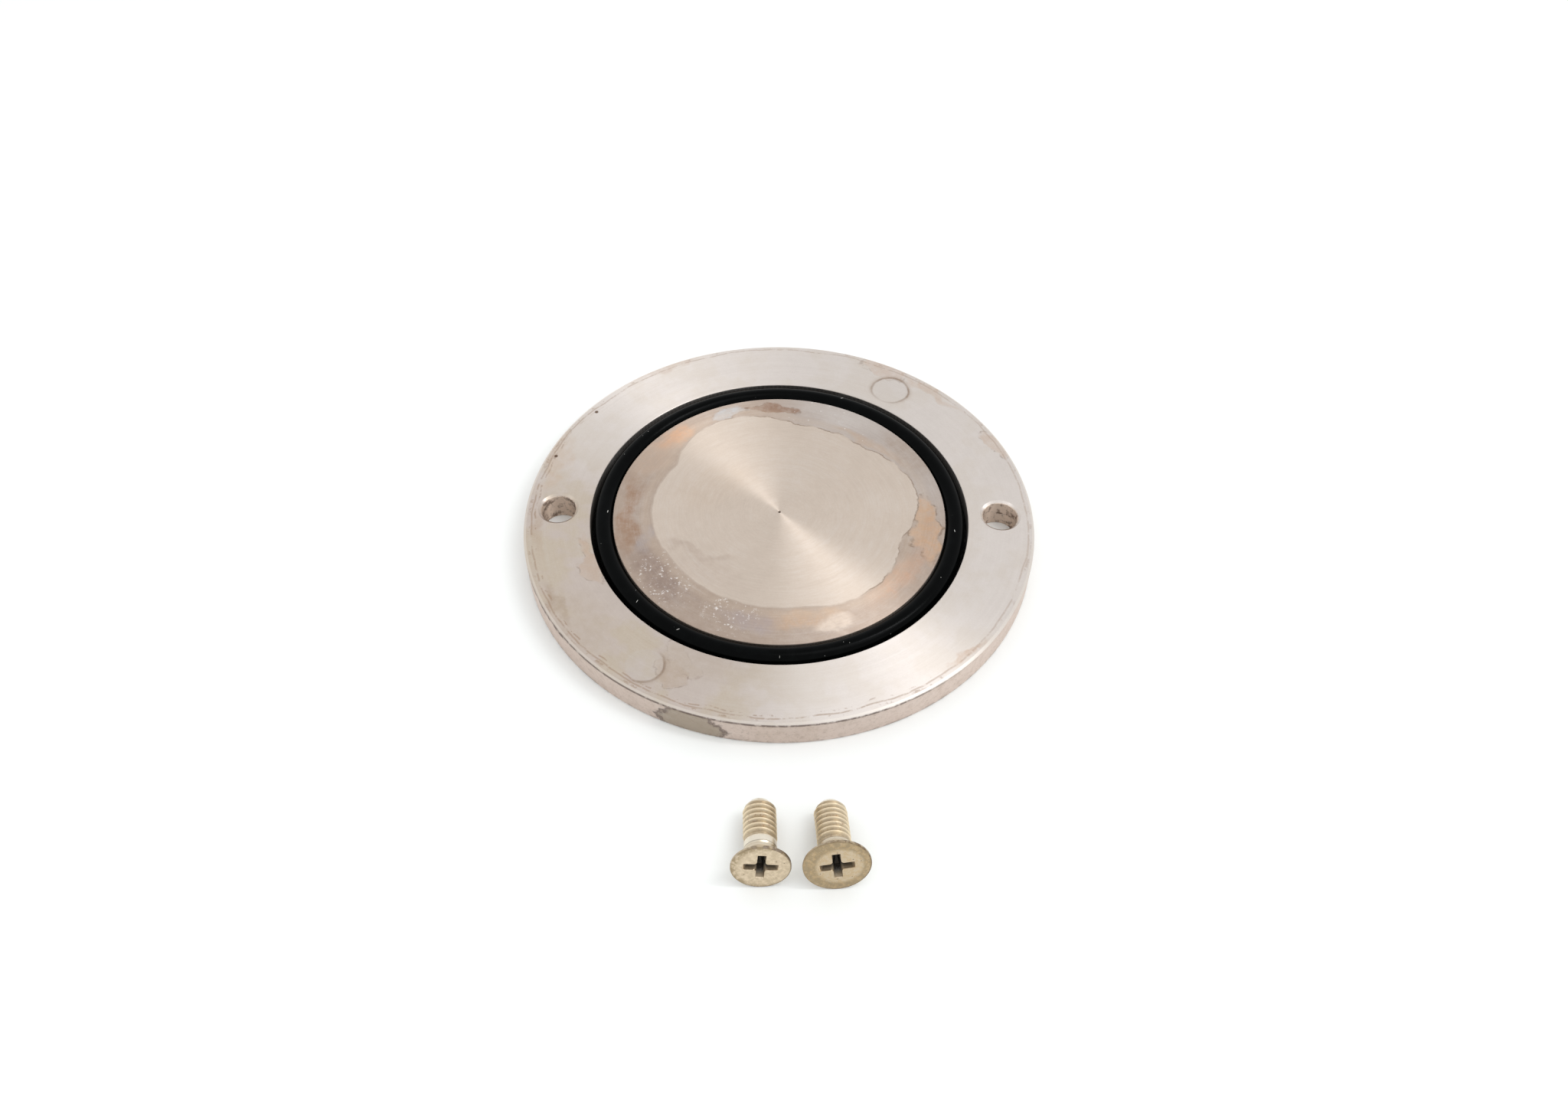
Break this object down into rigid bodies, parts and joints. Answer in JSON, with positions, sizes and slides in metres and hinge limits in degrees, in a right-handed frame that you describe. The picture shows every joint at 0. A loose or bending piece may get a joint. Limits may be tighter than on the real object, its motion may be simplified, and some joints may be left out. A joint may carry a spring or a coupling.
{
  "type": "trap cover plate set",
  "caption": "Round turned metal cover plate with an O-ring in its face groove, laid out beside its loose countersunk cross-recessed screws.",
  "frame": {"origin": "centre of the cover plate's outer face, the flat side that it lies on", "axes": "+Z along the plate's axis, out of its sealing side; +X from the left screw hole to the right one; the loose screws lie on the -Y side"},
  "size_m": [0.07, 0.0894, 0.0077],
  "materials": {
    "plate_metal": "fine turned, warm grey, water stained",
    "rubber": "black, slightly glossy",
    "screw_metal": "plated, warm grey, worn"
  },
  "bodies": {
    "plate": {"cover_plate": "plate_metal"},
    "seal": {"o_ring": "rubber"},
    "screw_left": {"left_screw": "screw_metal"},
    "screw_right": {"right_screw": "screw_metal"}
  },
  "joints": [
    {"name": "seal_lift", "type": "slide", "parent": "plate", "child": "seal", "axis": [0, 0, 1], "range_m": [0, 0.012]},
    {"name": "left_screw_turn", "type": "hinge", "parent": "plate", "child": "screw_left", "pos_m": [-0.00128, -0.05358, 0.00346], "axis": [0.0425, -0.9818, 0.1849], "continuous": true},
    {"name": "right_screw_turn", "type": "hinge", "parent": "plate", "child": "screw_right", "pos_m": [0.00728, -0.05346, 0.00388], "axis": [0.0784, -0.9682, 0.2376], "continuous": true}
  ]
}
